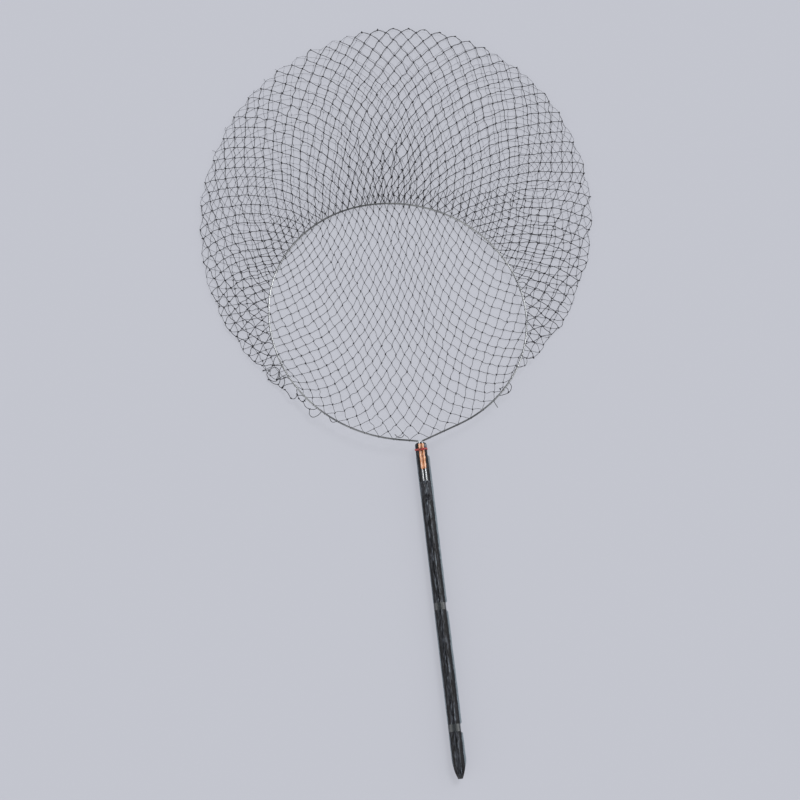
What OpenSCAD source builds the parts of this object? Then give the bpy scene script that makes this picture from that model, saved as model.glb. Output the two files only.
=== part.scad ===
// Long-handled hand net, laid down: a wire hoop and its knotted bag on a film-wrapped pole.
// Lengths are millimetres. +Y runs from the pole's tip to the far edge of the bag, +Z is up.
// Inside the modules, y = 0 is the neck of the hoop, at the head of the pole.

/* [Pole] */
// Outer diameter of the pole tube
tube_d = 25; // [20:0.5:30]
// Wall of the pole tube
tube_wall = 1.2; // [0.8:0.1:3]
// Length of the wrapped pole, from its head to its tip
pole_len = 753; // [700:1:1100]
// Length of the head plug's cap, outside the tube
head_cap = 8; // [6:0.5:12]
// Rounding of the head plug's rim
head_round = 5; // [2:0.5:6]
// Length of the tapered tip
taper_len = 34; // [20:1:60]
// Diameter of the blunt end of the tip plug
tip_d = 11; // [6:0.5:16]
// Length of the part of each plug that sits inside the tube
spigot_len = 25; // [10:1:50]

/* [Film] */
// Wall of the wrapping film
film_wall = 0.4; // [0.2:0.1:0.8]
// Width of the seam flap on the +X side
wide_flap = 4; // [1:0.5:8]
// Width of the seam flap on the -X side
narrow_flap = 0.8; // [0.5:0.1:8]
// Thickness of a seam flap
flap_t = 0.8; // [0.4:0.1:2]
// Distance from the pole's head to the start of the flaps
flap_start = 32; // [28:1:60]
// Distance from the pole's head to the slit that the tangs go into
slit_y = 95; // [80:1:110]

/* [Tape] */
// Width of a tape band
band_w = 16; // [8:1:30]
// Wall of a tape band
band_wall = 0.3; // [0.2:0.1:0.8]
// Distance from the pole's head to the near edge of the first band
band_y = 374; // [200:1:400]
// Distance from the first band to the second
band_pitch = 265; // [150:1:280]

/* [Hoop] */
// Diameter of the hoop wire
wire_d = 4; // [3:0.1:5]
// Distance between the two tangs, centre to centre
tang_gap = 7; // [6:0.1:9]
// Length of the tangs, from the pole's head
tang_len = 127; // [115:1:160]
// Bend radius where each tang turns into the hoop
neck_r = 5; // [4:0.5:6]
// Angle by which the left shoulder rises from square to the pole
shoulder_rise = 11; // [6:0.5:16]
// Length of the straight left shoulder
shoulder_len = 40; // [20:1:80]
// Bend radius of the lower left quarter
low_left_r = 337; // [300:1:360]
// Bend angle of the lower left quarter
low_left_bend = 88; // [82:0.5:92]
// Bend radius of the upper left quarter
top_left_r = 273; // [250:1:300]
// Bend angle of the upper left quarter
top_left_bend = 77; // [73:0.5:81]
// Bend angle of the upper right quarter
top_right_bend = 84.5; // [80:0.5:88]
// Angle by which the right shoulder rises from square to the pole
right_rise = 19.8; // [12:0.1:26]
// Length of the straight right shoulder
right_len = 92; // [40:1:120]

/* [Bindings] */
// Wall of the amber sleeve over the two tangs
sleeve_wall = 0.5; // [0.3:0.1:1]
// Distance from the pole's head to the near end of the amber sleeve
sleeve_y = 7; // [7:0.5:12]
// Length of the amber sleeve
sleeve_len = 59; // [40:1:70]
// Distance from the pole's head to the near edge of the neck tie
tie_y = 18; // [14:1:22]
// Width of the neck tie
tie_w = 5; // [3:0.5:6]
// Thickness of the neck tie
tie_wall = 1.2; // [0.6:0.1:2]
// Diameter of the neck tie's knot
knot_d = 4; // [3:0.1:5]

/* [Bag] */
// Width of the bag, across the pole
bag_w = 954; // [900:1:1100]
// Length of the bag, along the pole
bag_len = 1060; // [1000:1:1300]
// Angle by which the bag leans towards +X
bag_lean = 12; // [0:0.5:20]
// Distance of the bag's centre from the pole's line, towards +X
bag_x = 8; // [-20:1:20]
// Distance of the bag's centre from the pole's head
bag_y = 592; // [560:1:640]
// Width of one diamond of the bag's netting
mesh_w = 72; // [60:1:100]
// Height of one diamond of the bag's netting
mesh_h = 108; // [90:1:150]
// Width and thickness of a strand of the netting
strand = 1.6; // [1.2:0.1:2.4]
// Diameter of the twine loops on the hoop
twine_d = 1.4; // [1:0.1:2]
// Spacing of the twine loops along the hoop
loop_pitch = 50; // [30:1:90]

/* [Fits] */
// Clearance between pieces that sit still against each other
fit = 0.2; // [0.1:0.05:0.3]
// Clearance between the hoop's tangs and the pieces that they slide in
slide_gap = 0.3; // [0.2:0.05:0.5]

/* [Hidden] */
$fn = 64;

// Pole, from the inside out
tube_r = tube_d / 2;
film_r = tube_r + fit + film_wall;
band_r = film_r + fit + band_wall;
axis_z = band_r;
head_y = -(film_wall + fit);
tube_top_y = head_y - head_cap;
taper_y = -(pole_len - taper_len);
tip_y = -pole_len;
plug_tip_y = tip_y + film_wall + fit;
spigot_r = tube_r - tube_wall - fit;

// Tangs and what holds them
wire_r = wire_d / 2;
sleeve_r = wire_r + fit + sleeve_wall;
tang_rise = film_r + slide_gap + sleeve_r;
tang_z = axis_z + tang_rise;
tie_hole_r = sleeve_r + slide_gap;
tie_top = tang_rise + tie_hole_r + tie_wall;
pocket_hole_r = wire_r + slide_gap;
pocket_room = 1;
pocket_end_y = -(tang_len + pocket_room);

// How far a cut runs past the face that it opens
overrun = 1;

// Netting and the loops that hang it on the hoop
loop_r = wire_r + fit + twine_d / 2;
lower_top = strand;
upper_top = 2 * strand;
far_z = upper_top + fit + loop_r + twine_d / 2;

// Path of the hoop in its own plane: each state is [x, y, heading]
neck_bend = 90 - shoulder_rise;
neck_y = neck_r * (1 - cos(neck_bend)) * tan(shoulder_rise) - neck_r * sin(neck_bend);
left_neck = [-tang_gap / 2 - neck_r, neck_y];
right_neck = [tang_gap / 2 + neck_r, neck_y];
left_shoulder = [
  left_neck.x + neck_r * cos(neck_bend), neck_y + neck_r * sin(neck_bend), 180 - shoulder_rise
];
low_left = ahead(left_shoulder, shoulder_len);
top_left = turned(low_left, low_left_r, low_left_bend);
top_right = turned(top_left, top_left_r, top_left_bend);

// The two right-hand quarters take the radii that close the hoop onto the right shoulder
right_heading = right_rise - 180;
right_neck_bend = 90 - right_rise;
right_end = right_neck - neck_r * left_of(right_heading);
right_start = ahead([right_end.x, right_end.y, right_heading], -right_len);
low_right_heading = top_right[2] - top_right_bend;
low_right_bend = low_right_heading - right_heading;
top_chord = left_of(low_right_heading) - left_of(top_right[2]);
low_chord = left_of(right_heading) - left_of(low_right_heading);
closing_step = [right_start.x - top_right.x, right_start.y - top_right.y];
top_right_r = across(closing_step, low_chord) / across(top_chord, low_chord);
low_right_r = across(top_chord, closing_step) / across(top_chord, low_chord);
low_right = turned(top_right, top_right_r, top_right_bend);
right_shoulder = turned(low_right, low_right_r, low_right_bend);
quarters = [
  [low_left, low_left_r, low_left_bend], [top_left, top_left_r, top_left_bend],
  [top_right, top_right_r, top_right_bend], [low_right, low_right_r, low_right_bend]
];
quarter_steps = 18;

// Welds that join the stretches of the wire: how far they stand out, and their length
weld_out = 0.1;
weld_len = 1;

// Slope of the hoop's plane, from the tangs down to the far rim
hoop_far_y = max([for (p = rim(0)) p.y]);
hoop_slope = asin((tang_z - far_z) / (hoop_far_y - neck_y));

// Outline of the bag, and the middle of the whole object's box
bag_steps = 96;
bag_edge = bag_outline(strand / 2);
middle_x = (max([for (p = bag_edge) p.x]) + min([for (p = bag_edge) p.x])) / 2;
middle_y = (max([for (p = bag_edge) p.y]) + tip_y) / 2;

// Diamonds of the netting: where the rows reach, and the hole that the strands leave in each
mesh_rows = ceil(bag_len / mesh_h);
mesh_columns = ceil(bag_w / mesh_w);
strand_slant = atan(mesh_w / mesh_h);
hole_w = mesh_w - strand / cos(strand_slant);
hole_h = mesh_h - strand / sin(strand_slant);

// Unit vector to the left of a heading
function left_of(heading) = [-sin(heading), cos(heading)];

// Cross product of two vectors in the plane
function across(u, v) = u.x * v.y - u.y * v.x;

// Centre of a right-hand arc that starts at a state
function arc_centre(state, r) = [state.x, state.y] - r * left_of(state[2]);

// State after a straight of a given length
function ahead(state, len) =
  [state.x + len * cos(state[2]), state.y + len * sin(state[2]), state[2]];

// State after a right-hand arc
function turned(state, r, bend) =
  let (p = arc_centre(state, r) + r * left_of(state[2] - bend))
  [p.x, p.y, state[2] - bend];

// Point on a quarter of the hoop, moved outwards by out, at a share of its bend
function quarter_point(q, share, out) =
  arc_centre(q[0], q[1]) + (q[1] + out) * left_of(q[0][2] - q[2] * share);

// Closed outline of the hoop in its own plane, moved outwards by out
function rim(out) = concat(
  [[left_shoulder.x, left_shoulder.y] + out * left_of(left_shoulder[2])],
  [quarter_point(quarters[0], 0, out)],
  [for (q = quarters) for (i = [1:quarter_steps]) quarter_point(q, i / quarter_steps, out)],
  [right_neck + (out - neck_r) * left_of(right_heading)]
);

// Height of the hoop's plane, and the place on the floor, for a point of the hoop
function hoop_height(p) = tang_z - (p.y - neck_y) * sin(hoop_slope);
function on_floor(p) = [p.x, neck_y + (p.y - neck_y) * cos(hoop_slope)];

// Outline of the bag on the floor, moved outwards by out, clockwise from nearest the pole
function bag_outline(out) = [
  for (i = [0:bag_steps - 1])
    let (
      a = 270 - 360 * i / bag_steps,
      u = (bag_w / 2 + out) * cos(a),
      v = (bag_len / 2 + out) * sin(a)
    )
    [bag_x + u * cos(bag_lean) + v * sin(bag_lean), bag_y - u * sin(bag_lean) + v * cos(bag_lean)]
];

// The hoop's outline on the floor, moved outwards by out
function hoop_outline(out) = [for (p = rim(out)) on_floor(p)];

// Whether a point is inside a closed outline, from how often a line out of it crosses the edges
function inside(outline, p) =
  let (
    n = len(outline),
    crossings = [
      for (i = [0:n - 1])
        let (a = outline[i], b = outline[(i + 1) % n])
        if ((a.y > p.y) != (b.y > p.y) && p.x < a.x + (b.x - a.x) * (p.y - a.y) / (b.y - a.y)) i
    ]
  )
  len(crossings) % 2 == 1;

// Points of one outline that lie inside, or outside, another
function kept(points, outline, is_inside) = [for (p = points) if (inside(outline, p) == is_inside) p];

// Half of an outline, either its first points or its last
function half(points, is_first) =
  let (middle = floor(len(points) / 2))
  is_first ? [for (i = [0:middle]) points[i]] : [for (i = [middle + 1:len(points) - 1]) points[i]];

// Outline of the lower layer, which covers the bag and the inside of the hoop
function lower_outline(out) =
  let (hoop = hoop_outline(out), bag = bag_outline(out))
  concat(
    kept(half(hoop, true), bag, false),
    kept(bag, hoop, false),
    kept(half(hoop, false), bag, false)
  );

// Outline of the upper layer, which covers the bag outside the hoop
function upper_outline(out) =
  let (
    hoop = hoop_outline(-out),
    bag = bag_outline(out),
    rim_part = kept(hoop, bag, true)
  )
  concat(
    kept(bag, hoop, false),
    [for (i = [len(rim_part) - 1:-1:0]) rim_part[i]]
  );

// Corners and edge middles of one diamond hole
function hole_points(c) = [
  for (s = [0:0.5:3.5])
    let (
      a = floor(s) * 90,
      b = a + 90,
      t = s - floor(s)
    )
    c + [
      hole_w / 2 * ((1 - t) * cos(a) + t * cos(b)),
      hole_h / 2 * ((1 - t) * sin(a) + t * sin(b))
    ]
];

// Centres of the netting's diamonds, each row shifted by half a diamond
mesh_centres = [
  for (row = [-mesh_rows:mesh_rows])
    for (column = [-mesh_columns:mesh_columns])
      [bag_x + (column + (row % 2 == 0 ? 0 : 0.5)) * mesh_w, bag_y + row * mesh_h / 2]
];

// Moves a piece from the neck's frame to the middle of the object's box
module placed() {
  translate([-middle_x, -middle_y, 0])
    children();
}

// Turns a profile of [radius, distance towards the head] about the pole's axis
module on_pole_axis() {
  placed()
    translate([0, 0, axis_z])
      rotate([-90, 0, 0])
        children();
}

// Extrudes a profile across the pole, x sideways and y up from its axis, between two distances
module across_pole(from_y, to_y) {
  placed()
    translate([0, to_y, axis_z])
      rotate([90, 0, 0])
        linear_extrude(height = to_y - from_y)
          children();
}

// Long round shape that goes round both tangs
module tang_shape(r) {
  for (side = [-1, 1])
    translate([side * tang_gap / 2, tang_rise])
      circle(r = r);
  translate([-tang_gap / 2, tang_rise - r])
    square([tang_gap, 2 * r]);
}

// Profile of the head plug's cap, grown by out, from the axis to its rounded rim
module cap_profile(out) {
  r = tube_r + out;
  top = head_y + out;
  square_top = top - head_round - out;
  translate([0, tube_top_y])
    square([r, square_top - tube_top_y]);
  translate([0, tube_top_y])
    square([r - head_round - out, top - tube_top_y]);
  intersection() {
    translate([r - head_round - out, square_top])
      circle(r = head_round + out);
    translate([0, square_top])
      square([r, head_round + out]);
  }
}

// Profile of the pole's body and its tapered tip, grown by out
module body_profile(out) {
  polygon([
    [0, tube_top_y], [tube_r + out, tube_top_y], [tube_r + out, taper_y],
    [tip_d / 2 + out, plug_tip_y - out], [0, plug_tip_y - out]
  ]);
}

module pole_tube() {
  color("#8d9196")
    on_pole_axis()
      translate([0, 0, taper_y])
        difference() {
          cylinder(r = tube_r, h = tube_top_y - taper_y);
          translate([0, 0, -1])
            cylinder(r = tube_r - tube_wall, h = tube_top_y - taper_y + 2);
        }
}

module head_plug() {
  color("#1d1e20")
    on_pole_axis() {
      rotate_extrude()
        cap_profile(0);
      translate([0, 0, tube_top_y - spigot_len])
        cylinder(r = spigot_r, h = spigot_len);
    }
}

module tip_plug() {
  color("#1d1e20")
    on_pole_axis() {
      translate([0, 0, plug_tip_y])
        cylinder(r1 = tip_d / 2, r2 = tube_r, h = taper_y - plug_tip_y);
      translate([0, 0, taper_y])
        cylinder(r = spigot_r, h = spigot_len);
    }
}

// One stretch of a seam flap on each side of the film
module flaps(from_y, to_y) {
  across_pole(from_y, to_y)
    translate([-film_r - narrow_flap, -flap_t / 2])
      square([2 * film_r + narrow_flap + wide_flap, flap_t]);
}

module film_sleeve() {
  band_room = band_w + 2 * fit;
  color("#15171a")
    difference() {
      union() {
        on_pole_axis()
          rotate_extrude() {
            cap_profile(fit + film_wall);
            body_profile(fit + film_wall);
          }
        flaps(-band_y + fit, -flap_start);
        flaps(-band_y - band_pitch + fit, -band_y + fit - band_room);
        flaps(taper_y, -band_y - band_pitch + fit - band_room);
        across_pole(pocket_end_y - film_wall, -slit_y) {
          tang_shape(pocket_hole_r + film_wall);
          translate([-tang_gap / 2 - pocket_hole_r - film_wall, 0])
            square([tang_gap + 2 * (pocket_hole_r + film_wall), tang_rise]);
        }
      }
      on_pole_axis()
        rotate_extrude() {
          cap_profile(fit);
          body_profile(fit);
        }
      across_pole(pocket_end_y, -slit_y + overrun)
        tang_shape(pocket_hole_r);
    }
}

// Band of tape round the film, with its near edge at a distance from the pole's head
module tape_band(near_y) {
  color("#3b444a")
    across_pole(-near_y - band_w, -near_y)
      difference() {
        circle(r = band_r);
        circle(r = film_r + fit);
      }
}

module upper_tape_band() {
  tape_band(band_y);
}

module lower_tape_band() {
  tape_band(band_y + band_pitch);
}

// The tie goes round the wrapped pole and over the sleeved tangs
module neck_tie() {
  color("#c8321f") {
    across_pole(-tie_y - tie_w, -tie_y)
      difference() {
        union() {
          circle(r = film_r + fit + tie_wall);
          tang_shape(tie_hole_r + tie_wall);
        }
        circle(r = film_r + fit);
        tang_shape(tie_hole_r);
      }
    placed()
      translate([-tang_gap / 2, -tie_y - tie_w / 2, axis_z + tie_top])
        intersection() {
          sphere(d = knot_d);
          translate([-knot_d, -knot_d, -tie_wall / 2])
            cube(2 * knot_d);
        }
  }
}

// Hoop wire along a right-hand arc
module wire_arc(state, r, bend) {
  c = arc_centre(state, r);
  translate([c.x, c.y, 0])
    rotate([0, 0, state[2] + 90 - bend])
      rotate_extrude(angle = bend, $fn = 180)
        translate([r, 0])
          circle(r = wire_r, $fn = 32);
}

// Hoop wire along a straight
module wire_straight(state, len) {
  translate([state.x, state.y, 0])
    rotate([0, 0, state[2]])
      rotate([0, 90, 0])
        cylinder(r = wire_r, h = len, $fn = 32);
}

// Bend between a tang and a shoulder, with its centre outside the tang
module neck(centre, start, bend) {
  translate([centre.x, centre.y, 0])
    rotate([0, 0, start])
      rotate_extrude(angle = bend)
        translate([neck_r, 0])
          circle(r = wire_r, $fn = 32);
}

// Moves a piece from the hoop's plane, drawn flat, to its slope
module on_hoop_plane() {
  placed()
    translate([0, neck_y, tang_z])
      rotate([-hoop_slope, 0, 0])
        translate([0, -neck_y, 0])
          children();
}

// Short weld round the wire where two of its stretches meet
module weld(state) {
  translate([state.x, state.y, 0])
    rotate([0, 0, state[2]])
      rotate([0, 90, 0])
        cylinder(r = wire_r + weld_out, h = weld_len, center = true, $fn = 32);
}

module hoop_wire() {
  color("#c9ccce") {
    for (side = [-1, 1])
      placed()
        translate([side * tang_gap / 2, -tang_len, tang_z])
          rotate([-90, 0, 0])
            cylinder(r = wire_r, h = tang_len + neck_y, $fn = 32);
    on_hoop_plane() {
      neck(left_neck, 0, neck_bend);
      wire_straight(left_shoulder, shoulder_len);
      for (q = quarters)
        wire_arc(q[0], q[1], q[2]);
      wire_straight(right_shoulder, right_len);
      neck(right_neck, 180 - right_neck_bend, right_neck_bend);
      for (side = [-1, 1])
        weld([side * tang_gap / 2, neck_y, 90]);
      for (state = [left_shoulder, low_left, top_left, top_right, low_right, right_shoulder])
        weld(state);
      weld(ahead(right_shoulder, right_len));
    }
  }
}

module amber_sleeve() {
  color("#d8731c")
    across_pole(-sleeve_y - sleeve_len, -sleeve_y)
      difference() {
        tang_shape(sleeve_r);
        tang_shape(wire_r + fit);
      }
}

// One loop round the hoop wire, with the strand that drops to the netting
module rim_loop(p, heading) {
  on_hoop_plane()
    translate([p.x, p.y, 0])
      rotate([0, 0, heading])
        rotate([0, 90, 0])
          linear_extrude(height = twine_d, center = true)
            difference() {
              circle(r = loop_r + twine_d / 2);
              circle(r = loop_r - twine_d / 2);
            }
  foot = on_floor(p);
  foot_z = inside(bag_edge, foot) ? upper_top : lower_top;
  placed()
    translate([foot.x, foot.y, foot_z])
      cylinder(d = twine_d, h = hoop_height(p) - loop_r - foot_z, $fn = 24);
}

module rim_loops() {
  color("#2b2c30")
    for (q = quarters) {
      count = round(q[1] * q[2] * PI / 180 / loop_pitch);
      for (i = [0:count - 1]) {
        share = (i + 0.5) / count;
        rim_loop(quarter_point(q, share, 0), q[0][2] - q[2] * share);
      }
    }
}

// One layer of netting: a border strand, and every diamond hole that reaches inside it
module netting(border, room) {
  linear_extrude(height = strand)
    difference() {
      polygon(border);
      intersection() {
        polygon(room);
        for (c = mesh_centres)
          if (len(kept(hole_points(c), room, true)) > 0)
            polygon(hole_points(c));
      }
    }
}

// The lower layer lies on the floor and closes the hoop from below
module net_lower_layer() {
  color("#34353a")
    placed()
      netting(lower_outline(strand / 2), lower_outline(-strand / 2));
}

// The upper layer lies on the lower one, from the hoop's rim to the fold at the bag's edge
module net_upper_layer() {
  color("#3c3d42")
    placed()
      translate([0, 0, lower_top])
        netting(upper_outline(strand / 2), upper_outline(-strand / 2));
}

pole_tube();
head_plug();
tip_plug();
film_sleeve();
upper_tape_band();
lower_tape_band();
neck_tie();
hoop_wire();
amber_sleeve();
rim_loops();
net_lower_layer();
net_upper_layer();
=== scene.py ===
import math
import bpy
import numpy as np
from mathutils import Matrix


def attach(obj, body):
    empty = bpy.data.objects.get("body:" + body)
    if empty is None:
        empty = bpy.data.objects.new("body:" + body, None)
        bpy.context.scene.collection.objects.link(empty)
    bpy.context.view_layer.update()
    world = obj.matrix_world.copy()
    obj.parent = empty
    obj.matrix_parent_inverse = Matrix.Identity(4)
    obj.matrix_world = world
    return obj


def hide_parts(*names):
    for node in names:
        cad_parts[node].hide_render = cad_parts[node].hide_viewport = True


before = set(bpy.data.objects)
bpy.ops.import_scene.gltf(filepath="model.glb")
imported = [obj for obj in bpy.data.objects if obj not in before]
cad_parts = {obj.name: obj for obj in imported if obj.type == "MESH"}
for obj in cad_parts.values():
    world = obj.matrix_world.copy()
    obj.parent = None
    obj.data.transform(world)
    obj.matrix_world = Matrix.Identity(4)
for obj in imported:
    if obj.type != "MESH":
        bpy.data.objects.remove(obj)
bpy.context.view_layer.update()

scene = bpy.context.scene
mm = 0.001
poleX, poleZ = -8.0, 13.6  # mm, the pole's line and the height of its axis
neckY = -183.802  # mm, the pole's head, where the hoop's neck is
print("stage: frame loaded")


def linear(hexColour):
    channels = [int(hexColour[i:i + 2], 16) / 255 for i in (1, 3, 5)]
    return [c / 12.92 if c <= 0.04045 else ((c + 0.055) / 1.055) ** 2.4 for c in channels] + [1]


def addNode(tree, kind, values=None, stops=None, to=None):
    # one node with its settings, its inputs' values or links, the stops of a colour ramp, and
    # the socket that its first output goes to
    node = tree.nodes.new("ShaderNode" + kind)
    for name, value in (values or {}).items():
        value = value.outputs[0] if isinstance(value, bpy.types.Node) else value
        if isinstance(value, bpy.types.NodeSocket):
            tree.links.new(value, node.inputs[name])
        elif isinstance(name, int) or name in node.inputs:
            node.inputs[name].default_value = value
        else:
            setattr(node, name, value)
    if stops:
        while len(node.color_ramp.elements) < len(stops):
            node.color_ramp.elements.new(0.5)
        for element, (place, colour) in zip(node.color_ramp.elements, stops):
            element.position = place
            element.color = linear(colour) if isinstance(colour, str) else (colour,) * 3 + (1,)
    if to is not None:
        tree.links.new(node.outputs[0], to)
    return node


def newMaterial(name, values):
    # a material of one shader, whose sockets are for its patterns
    material = bpy.data.materials.new(name)
    material.use_nodes = True
    tree = material.node_tree
    tree.nodes.clear()
    shader = addNode(tree, "BsdfPrincipled", values)
    addNode(tree, "OutputMaterial", {"Surface": shader})
    return material, tree, shader.inputs


def meshPiece(name, parts, body, material, replaced=None, sharpFrom=180):
    # parts are (points in mm from the neck, faces, tones, uvs), joined as one piece
    places, faces, tones, uvs, start = [], [], [], [], 0
    for points, ownFaces, tone, uv in parts:
        places.append(points)
        faces += [[i + start for i in face] for face in ownFaces]
        tones.append(np.broadcast_to(tone, len(points)))
        uvs.append(uv)
        start += len(points)
    mesh = bpy.data.meshes.new(name)
    mesh.from_pydata(((np.concatenate(places) + (poleX, neckY, 0)) * mm).tolist(), [], faces)
    mesh.update()
    mesh.polygons.foreach_set("use_smooth", [True] * len(mesh.polygons))
    if sharpFrom < 180:
        mesh.set_sharp_from_angle(angle=math.radians(sharpFrom))
    layer = mesh.attributes.new("tone", "FLOAT", "POINT")
    layer.data.foreach_set("value", np.concatenate(tones).astype(np.float32))
    along = mesh.uv_layers.new(name="along")
    corner = np.empty(len(mesh.loops), dtype=np.int32)
    mesh.loops.foreach_get("vertex_index", corner)
    along.data.foreach_set("uv", np.concatenate(uvs).astype(np.float32)[corner].ravel())
    piece = bpy.data.objects.new(name, mesh)
    scene.collection.objects.link(piece)
    piece.data.materials.append(material)
    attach(piece, body)
    if replaced:
        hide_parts(replaced)


def gridFaces(rows, columns, closed):
    # quads of a grid of rows and columns, whose columns may close into rings
    last = columns if closed else columns - 1
    return [[r * columns + c, r * columns + (c + 1) % columns,
             (r + 1) * columns + (c + 1) % columns, (r + 1) * columns + c]
            for r in range(rows - 1) for c in range(last)]


def tubeFaces(rings, sides, copies=1):
    # a tube of rings with a cap at each end, or many equal ones
    start = (np.arange(copies) * rings * sides)[:, None]
    quads = np.array(gridFaces(rings, sides, True))[None] + start[..., None]
    cap = np.arange(sides)
    return (quads.reshape(-1, 4).tolist() + (start + cap[::-1]).tolist()
            + (start + (rings - 1) * sides + cap).tolist())


def circle(sides):
    return np.arange(sides) * 2 * np.pi / sides


def unit(v):
    return v / (np.linalg.norm(v, axis=-1, keepdims=True) + 1e-9)


def travelled(path):
    # the distance along a path to each of its points
    return np.concatenate([[0], np.cumsum(np.linalg.norm(np.diff(path, axis=0), axis=1))])


def smoothPath(corners, steps):
    # a soft curve through its corner points
    p = np.asarray(corners, float)
    p = np.concatenate([[2 * p[0] - p[1]], p, [2 * p[-1] - p[-2]]])
    t = np.linspace(0, 1, steps, endpoint=False)[:, None]
    spans = [0.5 * (2 * p[i] + (p[i + 1] - p[i - 1]) * t
                    + (2 * p[i - 1] - 5 * p[i] + 4 * p[i + 1] - p[i + 2]) * t ** 2
                    + (3 * p[i] - p[i - 1] - 3 * p[i + 1] + p[i + 2]) * t ** 3)
             for i in range(1, len(p) - 2)]
    return np.concatenate(spans + [p[-2:-1]])


def cordAlong(path, radius, sides, tone):
    # a round cord swept along a path, closed at both ends
    path = np.asarray(path, float)
    heading = unit(np.gradient(path, axis=0))
    across = np.cross(heading[0], (0.13, 0.21, 0.97))
    if np.linalg.norm(across) < 0.1:
        across = np.cross(heading[0], (1, 0, 0))
    side = np.empty_like(path)
    for i, h in enumerate(heading):
        across = side[i] = unit(across - h * (across @ h))
    up = np.cross(heading, side)
    angle = circle(sides)[:, None]
    rings = path[:, None] + radius * (np.cos(angle) * side[:, None] + np.sin(angle) * up[:, None])
    uvs = np.stack([np.repeat(travelled(path), sides),
                    np.tile(np.arange(sides) / sides, len(path))], -1)
    return rings.reshape(-1, 3), tubeFaces(len(path), sides), tone, uvs


camera = {"height": 3.2889, "x": -0.1722, "y": -1.25937, "aimX": -0.04242, "aimY": -0.069355,
          "lens": 67.9}
light = {"skyTop": 0.16, "skySide": 2.26, "wallTurn": 26, "sun": 1.17, "softness": 24,
         "tilt": -26, "lean": 30, "floorGlow": 0.7}
floorColour = "#c4c6cf"

cam = bpy.data.objects.new("camera", bpy.data.cameras.new("camera"))
scene.collection.objects.link(cam)
cam.data.lens = camera["lens"]
cam.data.sensor_width = 36
cam.data.clip_end = 200
cam.location = (camera["x"], camera["y"], camera["height"])
toAim = (camera["aimX"] - camera["x"], camera["aimY"] - camera["y"])
cam.rotation_euler = (math.atan2(math.hypot(*toAim), camera["height"]), 0,
                      math.atan2(-toAim[0], toAim[1]))
scene.camera = cam

# two broad soft walls of light, a little turned from left and right, and a darker ceiling between
world = bpy.data.worlds.new("studio")
scene.world = world
world.use_nodes = True
worldTree = world.node_tree
background = worldTree.nodes["Background"]
background.inputs["Color"].default_value = (1, 1, 1, 1)
ray = addNode(worldTree, "TexCoord").outputs["Generated"]
wallTurn = math.radians(light["wallTurn"])
towardsWall = (math.cos(wallTurn), math.sin(wallTurn), 0)
sideways = addNode(worldTree, "VectorMath", {"operation": "DOT_PRODUCT", 0: ray,
                                             1: towardsWall}).outputs["Value"]
wallShare = addNode(worldTree, "Math", {"operation": "MULTIPLY", 0: sideways, 1: sideways})
addNode(worldTree, "MapRange", {"Value": wallShare, "From Min": 0.0, "From Max": 1.0,
                                "To Min": light["skyTop"], "To Max": light["skySide"]},
        to=background.inputs["Strength"])

sun = bpy.data.objects.new("sun", bpy.data.lights.new("sun", "SUN"))
sun.data.energy = light["sun"]
sun.data.angle = math.radians(light["softness"])
sun.rotation_euler = (math.radians(light["tilt"]), math.radians(light["lean"]), 0)
scene.collection.objects.link(sun)

bpy.ops.object.select_all(action="DESELECT")
bpy.ops.mesh.primitive_plane_add(size=80, location=(0, 0, -0.0015))
floor = bpy.context.object
floor.name = "floor"
bpy.ops.object.transform_apply(location=True)
floorPaint, floorTree, _ = newMaterial("matt paper sweep", {
    "Base Color": linear(floorColour), "Roughness": 0.95, "Specular IOR Level": 0.0})
# to the camera, part of the sheet glows from behind, as on a light table, so its shadows are soft
glow = addNode(floorTree, "Emission", {"Color": linear(floorColour), "Strength": 1.0})
cameraRay = addNode(floorTree, "LightPath").outputs["Is Camera Ray"]
glowShare = addNode(floorTree, "Math", {"operation": "MULTIPLY", 0: cameraRay,
                                        1: light["floorGlow"]})
addNode(floorTree, "MixShader", {0: glowShare, 1: floorTree.nodes["Principled BSDF"], 2: glow},
        to=floorTree.nodes["Material Output"].inputs["Surface"])
floor.data.materials.append(floorPaint)
scene.view_settings.view_transform = "Standard"
print("stage: camera and light")


def patternedMaterial(name, values, texture, scale, settings, stops, relief, share=None):
    # one pattern for colour and relief, with a share over the piece's own tone if it has one:
    # strands laid along a cord, scaled per mm of it, or a grain all over, scaled per metre
    material, tree, surface = newMaterial(name, values)
    if texture == "TexWave":
        place = addNode(tree, "UVMap", {"uv_map": "along"})
    else:
        place = addNode(tree, "TexCoord").outputs["Object"]
    scaled = addNode(tree, "Mapping", {"Vector": place, "Scale": scale})
    pattern = addNode(tree, texture, {"Vector": scaled, **settings}).outputs["Fac"]
    shade = pattern
    if share is not None:
        tone = addNode(tree, "Attribute", {"attribute_name": "tone"}).outputs["Fac"]
        shade = addNode(tree, "Math", {"operation": "MULTIPLY_ADD", 0: pattern, 1: share, 2: tone})
    addNode(tree, "ValToRGB", {"Fac": shade}, stops, surface["Base Color"])
    addNode(tree, "Bump", {"Height": pattern, **relief}, to=surface["Normal"])
    return material


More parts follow.
